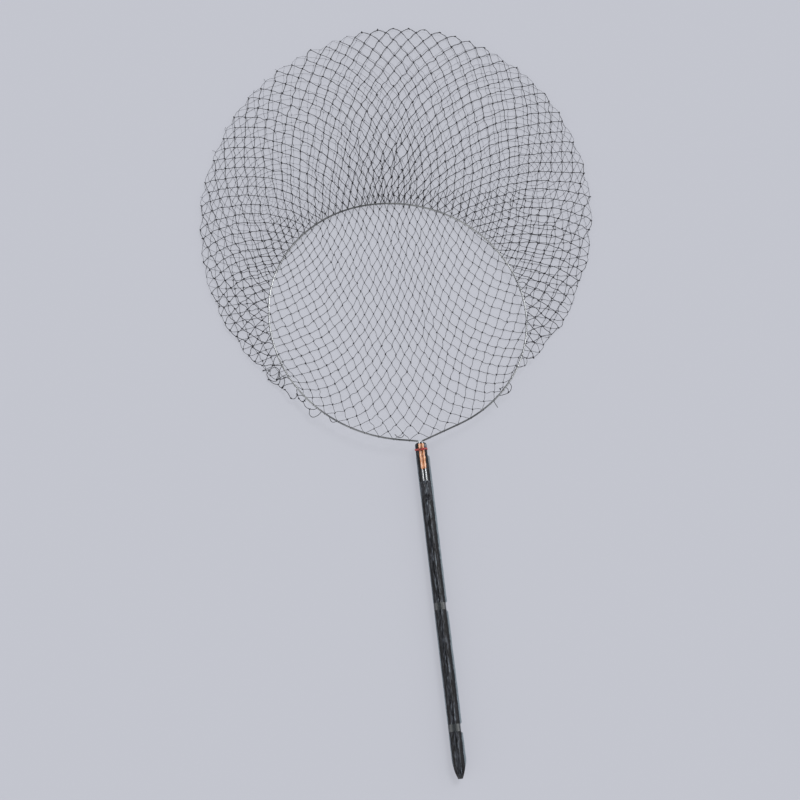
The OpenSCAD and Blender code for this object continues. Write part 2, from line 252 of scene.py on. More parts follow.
def steelMaterial():
    # cold-drawn steel wire: a bright grey skin with fine die lines along it, dulled in patches
    material, tree, surface = newMaterial("drawn steel wire", {"Metallic": 1.0})
    place = addNode(tree, "TexCoord").outputs["Object"]
    patch = addNode(tree, "TexNoise", {"Vector": place, "Scale": 14.0, "Detail": 3.0})
    grain = addNode(tree, "TexNoise", {"Vector": place, "Scale": 900.0, "Detail": 3.0})
    addNode(tree, "ValToRGB", {"Fac": patch}, [(0.35, "#6f7174"), (0.65, "#a9abad")],
            surface["Base Color"])
    addNode(tree, "ValToRGB", {"Fac": grain}, [(0.3, 0.17), (0.7, 0.27)], surface["Roughness"])
    addNode(tree, "Bump", {"Height": grain, "Strength": 0.02, "Distance": 0.0001},
            to=surface["Normal"])
    return material


def filmMaterial():
    # blown black polyethylene film, shrunk on: glossy, greyer where it is stretched or doubled,
    # paler with the painted highlights and darker with the painted shade of the piece's tone
    material, tree, surface = newMaterial("blown black polyethylene film", {
        "Roughness": 0.25, "IOR": 1.51, "Specular IOR Level": 0.16, "Coat Weight": 0.04,
        "Coat Roughness": 0.1})
    place = addNode(tree, "TexCoord").outputs["Object"]
    stretched = addNode(tree, "Mapping", {"Vector": place, "Scale": (420.0, 22.0, 420.0)})
    streak = addNode(tree, "TexNoise", {"Vector": stretched, "Scale": 1.0, "Detail": 5.0,
                                        "Roughness": 0.7})
    tone = addNode(tree, "Attribute", {"attribute_name": "tone"}).outputs["Fac"]
    rubbed = addNode(tree, "Mapping", {"Vector": place, "Scale": (190.0, 60.0, 190.0)})
    blotch = addNode(tree, "TexNoise", {"Vector": rubbed, "Scale": 1.0, "Detail": 5.0,
                                        "Roughness": 0.65, "Distortion": 0.8})
    fine = addNode(tree, "Math", {"operation": "MULTIPLY_ADD", 0: streak, 1: 0.7, 2: tone})
    mixed = addNode(tree, "Math", {"operation": "MULTIPLY_ADD", 0: blotch, 1: 0.4, 2: fine})
    addNode(tree, "ValToRGB", {"Fac": mixed},
            [(0.52, "#020203"), (0.66, "#111215"), (0.77, "#45484f"), (0.93, "#85919b")],
            surface["Base Color"])
    addNode(tree, "Bump", {"Height": streak, "Strength": 0.7, "Distance": 0.001},
            to=surface["Normal"])
    return material


steel, film = steelMaterial(), filmMaterial()
laid = {"bands_direction": "DIAGONAL", "Scale": 0.7, "Detail": 1.0}
# twisted polyethylene netting twine: greyish black, a low waxy sheen, turns 2 mm apart
twine = patternedMaterial(
    "twisted polyethylene twine", {"Roughness": 0.55, "IOR": 1.5, "Specular IOR Level": 0.4},
    "TexWave", (0.5, 1.0, 1.0), {**laid, "Distortion": 0.4},
    [(0.0, "#100f16"), (0.35, "#32303a"), (0.7, "#5b5966"), (1.0, "#918f9c")],
    {"Strength": 0.5, "Distance": 0.0003}, share=0.0)
# dyed nylon binding cord, three strands laid 1.5 mm a turn: warm red, softly shiny
redCord = patternedMaterial(
    "laid red nylon cord", {"Roughness": 0.5, "IOR": 1.53, "Sheen Weight": 0.2},
    "TexWave", (0.66, 1.0, 1.0), {**laid, "Distortion": 0.3},
    [(0.1, "#3c1210"), (0.45, "#a82a26"), (0.8, "#cf3f38"), (1.0, "#e0685c")],
    {"Strength": 0.6, "Distance": 0.0004}, share=0.3)
# drawn aluminium tube: fine straight lines along it, about 0.3 mm apart
tube = patternedMaterial(
    "drawn aluminium tube", {"Metallic": 1.0, "Roughness": 0.34},
    "TexNoise", (1600.0, 6.0, 1600.0), {"Scale": 1.0, "Detail": 2.0},
    [(0.3, "#8b8f94"), (0.7, "#a9acb0")], {"Strength": 0.2, "Distance": 0.0001})
# injection-moulded black ABS: satin, with a fine spark texture of about 0.4 mm
plug = patternedMaterial(
    "moulded black ABS", {"Roughness": 0.48, "IOR": 1.54},
    "TexNoise", (1.0, 1.0, 1.0), {"Scale": 2400.0, "Detail": 2.0},
    [(0.3, "#17181a"), (0.7, "#232427")], {"Strength": 0.3, "Distance": 0.0001})
# clear polypropylene packing tape over black film: smoother and greyer than the film, with
# long thin air marks under it
band = patternedMaterial(
    "clear polypropylene tape over film",
    {"Roughness": 0.14, "IOR": 1.49, "Coat Weight": 0.6, "Coat Roughness": 0.06},
    "TexNoise", (260.0, 900.0, 260.0), {"Scale": 1.0, "Detail": 3.0, "Roughness": 0.7},
    [(0.35, "#1c1f21"), (0.55, "#2e3336"), (0.75, "#4d5459")],
    {"Strength": 0.25, "Distance": 0.0002})
# amber PVC tape wound in one layer: pale over the wires, a painted highlight of the bright
# wires under it, and deeper between them, with a fine crepe of creases about 0.8 mm apart
amber = patternedMaterial(
    "wound amber PVC tape",
    {"Roughness": 0.33, "IOR": 1.53, "Coat Weight": 0.2, "Coat Roughness": 0.2},
    "TexNoise", (1.0, 1.0, 1.0), {"Scale": 1200.0, "Detail": 3.0, "Distortion": 0.6},
    [(0.12, "#5d3119"), (0.34, "#9c5c2f"), (0.62, "#d9925f"), (0.95, "#f4d0b8")],
    {"Strength": 0.3, "Distance": 0.0003}, share=0.3)

for name, material in (
        ("hoop_wire", steel), ("pole_tube", tube), ("head_plug", plug), ("tip_plug", plug),
        ("upper_tape_band", band), ("lower_tape_band", band), ("film_sleeve", film),
        ("amber_sleeve", amber), ("neck_tie", redCord), ("rim_loops", twine),
        ("net_lower_layer", twine), ("net_upper_layer", twine)):
    piece = bpy.data.objects[name]
    if not piece.material_slots:
        piece.data.materials.append(material)
    for slot in piece.material_slots:
        slot.material = material
print("stage: materials")

hoop = {"rise": 11, "shoulder": 40, "firstR": 337, "firstTurn": 88, "secondR": 273,
        "secondTurn": 77, "thirdTurn": 84.5, "rightRise": 19.8, "rightLen": 92, "tangGap": 7,
        "neckR": 5, "tangZ": 29.7, "slope": 2.077, "arcSteps": 60}


def leftOf(a):
    return np.array([-math.sin(a), math.cos(a)])


def headingOf(a):
    return np.array([math.cos(a), math.sin(a)])


def hoopCurve():
    # the wire's centre line, from the left shoulder over the far rim to the right one
    rise, last = math.radians(hoop["rise"]), math.radians(hoop["rightRise"]) - math.pi
    r, gap = hoop["neckR"], hoop["tangGap"]
    bend = math.pi / 2 - rise
    y = r * (1 - math.cos(bend)) * math.tan(rise) - r * math.sin(bend)
    point = np.array([-gap / 2 - r + r * math.cos(bend), y + r * math.sin(bend)])
    a = math.pi - rise
    path = [point, point + hoop["shoulder"] * headingOf(a)]

    def sweep(radius, turn):
        centre, steps = path[-1] - radius * leftOf(a), hoop["arcSteps"]
        path.extend(centre + radius * leftOf(a - turn * k / steps) for k in range(1, steps + 1))
        return a - turn

    a = sweep(hoop["firstR"], math.radians(hoop["firstTurn"]))
    a = sweep(hoop["secondR"], math.radians(hoop["secondTurn"]))
    # the last two radii are those that close the hoop onto the right shoulder
    third = a - math.radians(hoop["thirdTurn"])
    end = np.array([gap / 2 + r, y]) - r * leftOf(last) - hoop["rightLen"] * headingOf(last)
    chords = np.stack([leftOf(third) - leftOf(a), leftOf(last) - leftOf(third)], 1)
    upper, lower = np.linalg.solve(chords, end - path[-1])
    a = sweep(upper, a - third)
    a = sweep(lower, third - last)
    path.append(path[-1] + hoop["rightLen"] * headingOf(last))
    flat = np.array(path)
    slope = math.radians(hoop["slope"])
    height = hoop["tangZ"] - (flat[:, 1] - y) * math.sin(slope)
    flat[:, 1] = y + (flat[:, 1] - y) * math.cos(slope)
    return np.column_stack([flat, height])


rimPath = hoopCurve()
rimDistance = travelled(rimPath)


def rimAt(theta):
    # place on the wire's centre line for an angle from the far rim, in degrees, right positive
    s = (np.asarray(theta) / 360 + 0.5) % 1.0 * rimDistance[-1]
    return np.stack([np.interp(s, rimDistance, rimPath[:, i]) for i in range(3)], -1)


# the bag is a tube of knotted netting, hung on the wire by its first row and laced shut at its
# last; it lies folded over along a lopsided oval, with the laced end under the upper layer
bag = {
    "columns": 80, "rows": 37, "bar": 26.5,
    # the oval, the angles where the fold leaves the wire, and where these places lie on the oval
    "x": 7.5, "y": 592, "halfWidth": 477, "halfLength": 530, "lean": 12,
    "leftCross": -113, "rightCross": 124, "leftEdge": -152, "rightEdge": 138.4,
    # the share of the oval that the outermost knots, those between them and all others reach
    "foldShare": 0.992, "valleyShare": 0.972, "sideValley": 0.982, "insideShare": 0.985,
    "topAngle": -8, "topHalf": 30, "topFade": 14,
    # degrees by which hitches crowd together round the wire, and the line of the lacing
    "crowding": 20, "sideCrowding": 2, "gather": 8, "gatherAt": 4, "gatherHalf": 10,
    "laceX": 10, "laceY": 790, "laceHalf": 400, "laceDrop": 60,
    # rows are this far apart at these angles round the wire, and how the net is drawn taut
    "rowAngle": (0, 40, 90, 125), "rowSpacing": (22.5, 21, 20.5, 24), "mostFoldRows": 22,
    "sideColumns": 9, "sidePitch": 1.3, "rounds": 3000, "step": 0.15, "stiffening": 4,
    # heights, the hang of the first rows, and how the knots stray, most where it is bunched
    "upperZ": 3.6, "lowerZ": 1.1, "lift": 0.5, "hitchDrop": 2.9, "hangRows": 3, "hangCurve": 1.4,
    "waver": 1.1, "drift": 0.75, "driftWaves": 14, "driftTurn": 0.018, "layerPhase": 2.1,
    "bunchX": 0, "bunchY": 700, "bunchWidth": 110, "bunchLength": 120, "crumple": 1.6,
    "mouthAngle": 100, "mouthRows": 30}


def ovalAxes():
    lean = math.radians(bag["lean"])
    return (np.array([bag["x"], bag["y"]]), np.array([math.cos(lean), -math.sin(lean)]),
            np.array([math.sin(lean), math.cos(lean)]))


def ovalPoint(angle, share):
    middle, across, along = ovalAxes()
    t = np.radians(angle)[..., None]
    return middle + share * (bag["halfWidth"] * np.sin(t) * across
                             + bag["halfLength"] * np.cos(t) * along)


def ovalShare(points):
    middle, across, along = ovalAxes()
    d = points - middle
    return np.sqrt((d @ across / bag["halfWidth"]) ** 2 + (d @ along / bag["halfLength"]) ** 2)


def crowded(angle):
    # hitches sit closer together at the far rim, and farthest apart by the neck
    a = np.radians(angle)
    bunched = np.tanh((angle - bag["gatherAt"]) / bag["gatherHalf"]) - angle / 180
    return (angle + bag["crowding"] * np.sin(a) + bag["sideCrowding"] * np.sin(2 * a)
            + bag["gather"] * bunched)


def hitchAngle(theta):
    # the angle round the wire where a mesh hangs, for its even share of the net
    even = np.linspace(-180, 180, 721)
    return np.interp(theta, crowded(even), even)


def netBars():
    # the two bars from each knot to the next row, one of each diagonal family
    rows, columns = bag["rows"], bag["columns"]
    index = np.arange((rows + 1) * columns).reshape(rows + 1, columns)
    first, second = np.repeat(index[:-1], 2, axis=0), []
    for row, below in enumerate(index[1:]):
        second += [np.roll(below, 1), below] if row % 2 == 0 else [below, np.roll(below, -1)]
    return first.ravel(), np.concatenate(second), np.tile(np.repeat([0, 1], columns), rows)


def lacedKnots(last):
    # the last row's knots are shared by the near and far half of the bag
    start = bag["rows"] * bag["columns"]
    same = np.arange(start + bag["columns"])
    for k in range(bag["columns"]):
        partner = int(np.argmin(np.abs((last - (180 - last[k]) + 180) % 360 - 180)))
        same[start + k] = start + min(k, partner)
    return same


def startNet():
    # each knot's place before the net is drawn taut, row 0 on the wire, and where it folds
    rows, columns = bag["rows"], bag["columns"]
    row, column = np.arange(rows + 1)[:, None], np.arange(columns)[None, :]
    across = column + 0.5 * (row % 2)
    theta = (across + 0.5) * 360 / columns - 180
    theta = (theta + 180) % 360 - 180
    rimAngle = hitchAngle(theta)
    # along the sides the fold follows one bar after another, so it gains a row in half a mesh
    leftCross, rightCross = [round((crowded(bag[k]) + 180) / 360 * columns - 0.5)
                             for k in ("leftCross", "rightCross")]
    fromLeft, fromRight = across - leftCross, rightCross - across
    folded = (fromLeft > 0) & (fromRight > 0)
    width, side = rightCross - leftCross, bag["sideColumns"]
    lengths = np.cumsum([0, side * bag["sidePitch"], width - 2 * side, side * bag["sidePitch"]])
    edgeAngle = np.interp(fromLeft, (0, side, width - side, width), bag["leftEdge"]
                          + (bag["rightEdge"] - bag["leftEdge"]) * lengths / lengths[-1])
    rim = rimAt(rimAngle)
    start, fold = rim[..., :2], ovalPoint(edgeAngle, bag["foldShare"])
    share = np.where(np.abs(theta) <= 90, theta, np.sign(theta) * 180 - theta) / 90
    lace = np.stack([bag["laceX"] + bag["laceHalf"] * share,
                     bag["laceY"] - bag["laceDrop"] * np.abs(share)], -1)
    spacing = np.interp(np.abs(rimAngle), bag["rowAngle"], bag["rowSpacing"])
    foldRow = np.where(folded, np.linalg.norm(fold - start, axis=-1) / spacing, 0)
    foldRow = np.minimum(foldRow, bag["mostFoldRows"])
    foldRow = np.minimum(foldRow, np.maximum(2 * np.minimum(fromLeft, fromRight), 0))
    onTop = folded & (row <= foldRow)
    out = np.clip(row / np.maximum(foldRow, 1e-6), 0, 1)[..., None]
    back = np.clip((row - foldRow) / (rows - foldRow), 0, 1)[..., None]
    under = np.where(folded[..., None], fold, start) * (1 - back) + lace * back
    off = np.abs(row - foldRow)
    between = folded & (row > 0) & (row < rows)
    # knots between the outermost ones: set back at the top, level with them along the sides
    turned = (np.abs(edgeAngle - bag["topAngle"]) - bag["topHalf"]) / bag["topFade"]
    valley = bag["valleyShare"] + (bag["sideValley"] - bag["valleyShare"]) * np.clip(turned, 0, 1)
    net = {"theta": theta, "row": row + 0 * column, "rimZ": rim[..., 2], "onTop": onTop,
           "limited": folded & (row > 0), "outer": between & (off <= 0.5),
           "inner": between & (off > 0.5) & (off <= 1.0), "valley": valley}
    net = {name: values.ravel() for name, values in net.items()}
    net["place"] = np.where(onTop[..., None], start * (1 - out) + fold * out, under).reshape(-1, 2)
    net["same"] = lacedKnots(theta[rows])
    net["first"], net["second"], net["family"] = netBars()
    net["mouth"] = (np.abs(net["theta"]) > bag["mouthAngle"]) & (net["row"] < bag["mouthRows"])
    return net


def drawTaut(net):
    # bars that stiffen as they stretch pull every knot to an even place inside the oval
    same, inside = net["same"], bag["insideShare"]
    a, b = same[net["first"]], same[net["second"]]
    points, free = net["place"][same], (net["row"] > 0)[:, None]
    count, middle = len(points), ovalAxes()[0]
    for _ in range(bag["rounds"]):
        length = np.linalg.norm(points[b] - points[a], axis=1)
        pull = np.clip(length / bag["bar"], 0.3, 3) ** bag["stiffening"]
        total = [np.bincount(a, pull * there, minlength=count)
                 + np.bincount(b, pull * here, minlength=count)
                 for here, there in ((1, 1), *zip(points[a].T, points[b].T))]
        mean = np.stack(total[1:], -1) / (total[0] + 1e-9)[:, None]
        points = np.where(free, points + bag["step"] * (mean - points), points)
        share = ovalShare(points) + 1e-9
        scale = np.where((share > inside) & net["limited"], inside / share, 1)
        scale = np.where(net["inner"], net["valley"] / share, scale)
        scale = np.where(net["outer"], bag["foldShare"] / share, scale)
        points = (middle + (points - middle) * scale[:, None])[same]
    return points


def loosened(net, flat, random):
    # a slow drift and a small waver, as hand-laid netting has, least at the fold and the wire
    row, onTop = net["row"], net["onTop"]
    loose = np.clip(row / 4, 0, 1) * np.clip((0.97 - ovalShare(flat)) / 0.1, 0.15, 1)
    drift = np.zeros_like(flat)
    for _ in range(bag["driftWaves"]):
        turn, phase = random.normal(0, bag["driftTurn"], 2), random.uniform(0, 6.28, 2)
        wave = flat @ turn + np.where(onTop, bag["layerPhase"], 0)
        drift += np.stack([np.sin(wave + phase[0]), np.sin(wave + phase[1])], -1)
    waver = random.normal(0, bag["waver"], flat.shape)
    waver *= (1 + bag["crumple"] * net["bunched"])[:, None]
    flat = (flat + (drift * bag["drift"] + waver) * loose[:, None])[net["same"]]
    rest = np.where(onTop, bag["upperZ"], bag["lowerZ"])
    drop = np.clip(1 - row / bag["hangRows"], 0, 1) ** bag["hangCurve"]
    height = rest + (net["rimZ"] - bag["hitchDrop"] - rest) * drop
    height += random.uniform(0, bag["lift"], len(row)) * (row > 2)
    return np.column_stack([flat, height[net["same"]]])


# tones run from 0, dark, to 1, pale; the lower layer is drawn finer and paler than the upper one,
# and so are short slack bars, and it shows more along the bag's sides
bars = {"rings": 6, "sides": 5, "twist": 0.03, "bow": 0.039, "foldBulge": 0.07,
        "upperR": 0.71, "openR": 0.51, "lowerR": 0.24, "rightR": 1.1,
        "tone": 0.04, "leftTone": 0.12, "lowerTone": 0.38, "openTone": -0.36, "toneSpread": 0.08,
        "short": 15, "shortR": 0.45, "shortTone": 0.4, "bunchUpper": 0.1, "bunchLower": 0.3,
        "sideStart": 220, "sideWidth": 140, "sideR": 0.5, "sideTone": -0.14}


def barsMesh(starts, ends, radius, tones, bulge, random):
    # many thin twine bars as one mesh, each a little bowed, and outwards by its bulge
    count, rings, sides = len(starts), bars["rings"], bars["sides"]
    reach = ends - starts
    length = np.linalg.norm(reach, axis=1, keepdims=True) + 1e-9
    axis = reach / length
    side = unit(np.cross(axis, (0.0, 0.0, 1.0)))
    up = np.cross(axis, side)
    share = np.linspace(0, 1, rings)
    half, full = np.sin(np.pi * share)[None], np.sin(2 * np.pi * share)[None]
    wave = random.normal(0, bars["twist"], (count, 1)) * full
    wave = wave + random.normal(0, bars["bow"], (count, 1)) * half
    outward = 0.5 * (starts + ends)[:, :2] - ovalAxes()[0]
    wave = wave + (np.sign((side[:, :2] * outward).sum(1)) * bulge)[:, None] * half
    path = (starts[:, None] + reach[:, None] * share[None, :, None]
            + side[:, None] * (wave * length)[..., None])
    angle = circle(sides)[:, None]
    ring = np.cos(angle) * side[:, None] + np.sin(angle) * up[:, None]
    points = path[:, :, None] + ring[:, None] * radius[:, None, None, None]
    along = np.broadcast_to((share[None] * length)[..., None], (count, rings, sides))
    around = np.broadcast_to(np.arange(sides) / sides, along.shape)
    return (points.reshape(-1, 3), tubeFaces(rings, sides, count), np.repeat(tones, rings * sides),
            np.stack([along, around], -1).reshape(-1, 2))


def knotsMesh(places, headings, size, tones):
    # a small turned lump of twine at each crossing
    shift, girth = np.array(((-1, 0.3), (-0.5, 0.95), (0, 0.7), (0.5, 0.95), (1, 0.3))).T
    sides, zero = 6, 0 * headings
    axis = np.stack([np.cos(headings), np.sin(headings), zero], -1)[:, None]
    side = np.stack([-np.sin(headings), np.cos(headings), zero], -1)[:, None]
    angle = circle(sides)[:, None]
    middle = places[:, None] + axis * (shift[:, None] * size[:, None, :1])
    around = side * np.cos(angle) + np.array([0, 0, 0.8]) * np.sin(angle)
    points = middle[:, :, None] + girth[:, None, None] * size[:, None, None, 1:] * around[:, None]
    points, each = points.reshape(-1, 3), len(shift) * sides
    faces = tubeFaces(len(shift), sides, len(places))
    return points, faces, np.repeat(tones, each), np.zeros((len(points), 2))


def makeBars(net, random):
    first, second, flat = net["first"], net["second"], net["knots"][:, :2]
    upper = net["onTop"][first] & net["onTop"][second]
    opening = ~upper & net["mouth"][first]
    tones = bars["tone"] + bars["leftTone"] * (net["family"] == 0) + bars["lowerTone"] * ~upper
    tones = np.clip(tones + random.normal(0, bars["toneSpread"], len(first)), 0, 1)
    radius = np.where(upper, bars["upperR"], bars["lowerR"])
    radius = np.where(net["family"] == 1, bars["rightR"], 1) * radius
    radius = np.where(opening, bars["openR"], radius)
    tones = np.where(opening, tones + bars["openTone"], tones)
    reach = net["reach"] / bars["short"]
    radius = radius * np.clip(reach, bars["shortR"], 1)
    tones = tones + bars["shortTone"] * np.clip(1 - reach, 0, 1) * ~upper
    radius *= 1 + net["bunched"][first] * np.where(upper, bars["bunchUpper"], bars["bunchLower"])
    beside = (np.abs(flat[first, 0] - bag["x"]) - bars["sideStart"]) / bars["sideWidth"]
    beside = np.clip(beside, 0, 1) * (~upper & ~opening)
    radius, tones = radius * (1 + bars["sideR"] * beside), tones + bars["sideTone"] * beside
    bulge = bars["foldBulge"] * (net["outer"][first] | net["outer"][second])
    left = net["theta"][first] < 0
    for name, chosen, replaced in (("bag_upper_left", upper & left, "net_upper_layer"),
                                   ("bag_upper_right", upper & ~left, None),
                                   ("bag_under_left", ~upper & left, "net_lower_layer"),
                                   ("bag_under_right", ~upper & ~left, None)):
        mesh = barsMesh(net["knots"][first[chosen]], net["knots"][second[chosen]],
                        radius[chosen], tones[chosen], bulge[chosen], random)
        meshPiece(name, [mesh], "hoop", twine, replaced)


# the knots' sizes in mm, the shares by which they are smaller or larger, and their tones
lump = {"length": (2.5, 3.7), "girth": (1.65, 2.3), "turn": 0.5, "lowerShare": 0.46,
        "openShare": 0.8, "bunchShare": 0.24, "room": 13, "leastShare": 0.35,
        "tone": 0.02, "toneSpread": 0.04, "lowerTone": 0.34}


def makeKnots(net, random):
    # a lump at each crossing, smaller where the bars that meet there are short
    flat, same = net["knots"][:, :2], net["same"]
    chosen = np.flatnonzero((same == np.arange(len(same))) & (net["row"] > 0))
    count = len(chosen)
    ahead, room = np.zeros((len(flat), 2)), np.full(len(flat), 30.0)
    for end in (net["first"], net["second"]):
        np.add.at(ahead, end, flat[net["second"]] - flat[net["first"]])
        np.minimum.at(room, same[end], net["reach"])
    heading = np.arctan2(ahead[:, 1], ahead[:, 0])[chosen] + random.normal(0, lump["turn"], count)
    size = np.stack([random.uniform(*lump[k], count) for k in ("length", "girth")], -1)
    lower = ~net["onTop"] & ~net["mouth"]
    share = np.where(lower, lump["lowerShare"], np.where(net["onTop"], 1, lump["openShare"]))
    share = share * (1 + lump["bunchShare"] * net["bunched"])
    share = share * np.clip(room / lump["room"], lump["leastShare"], 1)
    tones = random.normal(lump["tone"], lump["toneSpread"], count)
    tones = np.clip(tones + lump["lowerTone"] * lower[chosen], 0, 1)
    mesh = knotsMesh(net["knots"][chosen], heading, size * share[chosen, None], tones)
    meshPiece("bag_knots", [mesh], "hoop", twine)
    return count


def makeNet():
    random = np.random.default_rng(7)
    net = startNet()
    flat = drawTaut(net)
    # both layers are crumpled where the bag is bunched beyond the far rim
    net["bunched"] = np.exp(-((flat[:, 0] - bag["bunchX"]) / bag["bunchWidth"]) ** 2
                            - ((flat[:, 1] - bag["bunchY"]) / bag["bunchLength"]) ** 2)
    net["knots"] = loosened(net, flat, random)
    flat = net["knots"][:, :2]
    net["reach"] = np.linalg.norm(flat[net["second"]] - flat[net["first"]], axis=1)
    makeBars(net, random)
    count = makeKnots(net, random)
    print("stage: bag,", len(net["first"]), "bars and", count, "knots")
    return net


net = makeNet()

hitch = {"turns": 0.9, "pitch": 1.1, "coilR": 2.3, "twineR": 0.36, "tail": 2.4, "tailR": 0.45,
         "aimX": -20.0, "aimY": 310.0, "knot": (1.9, 1.1)}


def makeHitches():
    # a coil of twine round the wire at each mesh, with its knot below and a short tail
    random = np.random.default_rng(11)
    parts = []
    for angle in hitchAngle(net["theta"][:bag["columns"]]):
        along = unit(rimAt(angle + 0.3) - rimAt(angle - 0.3))
        out = unit(np.cross(along, (0, 0, 1)))
        up = np.cross(out, along)
        middle = rimAt(angle) + along * random.normal(0, 0.8)
        turns = hitch["turns"] + random.uniform(-0.3, 0.5)
        t = np.linspace(0, 1, 24)[:, None]
        a = -math.pi / 2 + 2 * math.pi * turns * t
        coil = (middle + hitch["coilR"] * (np.cos(a) * out + np.sin(a) * up)
                + along * (t - 0.5) * turns * hitch["pitch"])
        parts.append(cordAlong(coil, hitch["twineR"], 5, random.uniform(0.02, 0.2)))
        low = middle - up * bag["hitchDrop"]
        towards = unit(np.array([hitch["aimX"], hitch["aimY"], low[2]]) - low)
        tail = [low, low + towards * 2.5 - (0, 0, 0.6),
                low + towards * hitch["tail"] * random.uniform(0.7, 1.1)
                + along * random.normal(0, 1.2) - (0, 0, 1.5)]
        parts.append(cordAlong(smoothPath(tail, 4), hitch["tailR"], 5, random.uniform(0.05, 0.25)))
        heading = np.arctan2(towards[1:2], towards[:1])
        parts.append(knotsMesh(low[None], heading, np.array([hitch["knot"]]), [0.05]))
    meshPiece("rim_hitches", parts, "hoop", twine, "rim_loops")
    print("stage: hitches")


makeHitches()

# slack loops of twine that hang out of the hoop, mm from the neck
slackLoops = {
    "nearLeft": [[(-343, 221), (-333, 221), (-316, 223), (-307, 214), (-307, 202), (-314, 191),
                  (-326, 193), (-334, 202), (-336, 212), (-330, 219)],
                 [(-309, 194), (-296, 198), (-286, 198)],
                 [(-332, 197), (-324, 187), (-312, 182), (-306, 192), (-308, 204)],
                 [(-312, 182), (-308, 174), (-301, 174), (-296, 183), (-298, 196)],
                 [(-301, 174), (-290, 176), (-277, 174)],
                 [(-298, 166), (-291, 156), (-285, 143), (-276, 140), (-270, 148), (-270, 159)],
                 [(-270, 148), (-267, 138), (-261, 130), (-254, 130), (-252, 136), (-260, 143),
                  (-269, 145)],
                 [(-258, 129), (-253, 116), (-244, 109), (-235, 106), (-224, 107)],
                 [(-244, 109), (-246, 98), (-239, 90), (-227, 91), (-216, 99)],
                 [(-202, 85), (-197, 71), (-188, 69), (-183, 72)]],
    "nearRight": [[(181, 87), (180, 78), (187, 66)],
                  [(219, 124), (225, 113), (218, 100), (203, 94), (187, 92)],
                  [(198, 109), (206, 113), (215, 108), (216, 100)]],
    "neck": [[(-56, 26), (-50, 17), (-41, 16), (-35, 23)]],
    "tufts": [(-246, 1022, 9), (-262, 1008, 5), (-276, 1001, 8), (-310, 975, 5), (-335, 945, 5),
              (-380, 880, 8), (-420, 806, 9), (-450, 700, 5)],
    "lumps": [(-343, 221), (-333, 197), (-330, 219), (-312, 182), (-301, 174), (-303, 171),
              (-298, 166), (-285, 143), (-270, 148), (-267, 138), (-254, 130), (-244, 109),
              (-258, 129), (216, 100), (198, 109)],
    "twineR": 0.74, "wireDrop": 2.5, "fall": 0.55, "floorZ": 2.0, "tuftR": 0.45, "tuftTone": 0.45}


def makeSlackLoops():
    random = np.random.default_rng(23)
    parts, floorZ = [], slackLoops["floorZ"]

    def hung(x, y, lift=0):
        # strands hang from the wire where they meet it and reach the floor 30 mm outside it
        gap = np.linalg.norm(rimPath[:, :2] - (x, y), axis=1)
        near = int(np.argmin(gap))
        wireZ = rimPath[near, 2] - slackLoops["wireDrop"]
        return x, y, max(wireZ - slackLoops["fall"] * gap[near], floorZ) + lift

    # short ends that stand out of the outermost knots, at the places nearest those named
    outermost, centre = net["knots"][net["outer"], :2], rimPath[:, :2].mean(0)
    for x, y, reach in slackLoops["tufts"]:
        start = outermost[np.argmin(np.linalg.norm(outermost - (x, y), axis=1))]
        out = unit(start - centre)
        bend = random.normal(0, 0.35) * np.array([-out[1], out[0]])
        corners = [(*start, floorZ + 0.4), (*(start + 0.5 * reach * out), floorZ + 0.6),
                   (*(start + reach * (out + bend)), floorZ)]
        parts.append(cordAlong(smoothPath(corners, 4), slackLoops["tuftR"], 5,
                               slackLoops["tuftTone"]))
    for group in ("nearLeft", "nearRight", "neck"):
        for strand in slackLoops[group]:
            corners = [hung(x, y, random.uniform(0, 0.8)) for x, y in strand]
            parts.append(cordAlong(smoothPath(corners, 6), slackLoops["twineR"], 5,
                                   random.uniform(0.0, 0.15)))
    places = np.array([hung(x, y) for x, y in slackLoops["lumps"]])
    count = len(places)
    headings = random.uniform(0, 3.1, count)
    size = np.stack([random.uniform(2.2, 3.4, count), random.uniform(1.4, 2.0, count)], -1)
    parts.append(knotsMesh(places, headings, size, np.full(count, 0.04)))
    meshPiece("slack_loops", parts, "hoop", twine)
    print("stage: slack loops")


makeSlackLoops()

# angles are round the pole from its right side, in radians, and places are mm from its head
skin = {
    "radius": 13.1, "wideFlap": 4.0, "narrowFlap": 0.8, "flapStart": -30, "taperStart": -717,
    "tip": -753, "tipR": 5.6, "headRound": 5.4, "slit": -95, "ridgeEnd": -127, "pinch": -20.5,
    "bands": ((-374, -390), (-639, -655)), "creases": 170, "puckers": 110, "step": 2.0,
    "sharpFrom": 48,
    # angle, place, depth and slant of the creases that cross the pole
    "twists": ((1.45, -541, 0.55, 0.07), (1.75, -549, -0.3, 0.07), (1.2, -118, 0.3, 0.05),
               (1.1, -300, 0.2, -0.04), (1.9, -470, 0.25, 0.05), (1.5, -700, 0.35, 0.04),
               (1.2, -690, -0.3, -0.05), (2.2, -205, 0.25, 0.04)),
    # angle, half width and paleness of the long painted highlights along the upper side of the
    # pole
    "paintedHighlights": ((1.28, 0.06, 0.13), (1.38, 0.05, 0.1), (1.75, 0.09, 0.08), (2.0, 0.08, 0.07),
                (2.35, 0.07, 0.05), (1.0, 0.04, 0.06), (0.62, 0.04, 0.08))}


def smoothStep(low, high, x):
    t = np.clip((x - low) / (high - low), 0, 1)
    return t * t * (3 - 2 * t)


def hump(distance, width):
    return np.exp(-(distance / width) ** 2)


def away(angle, centre):
    return (angle - centre + np.pi) % (2 * np.pi) - np.pi


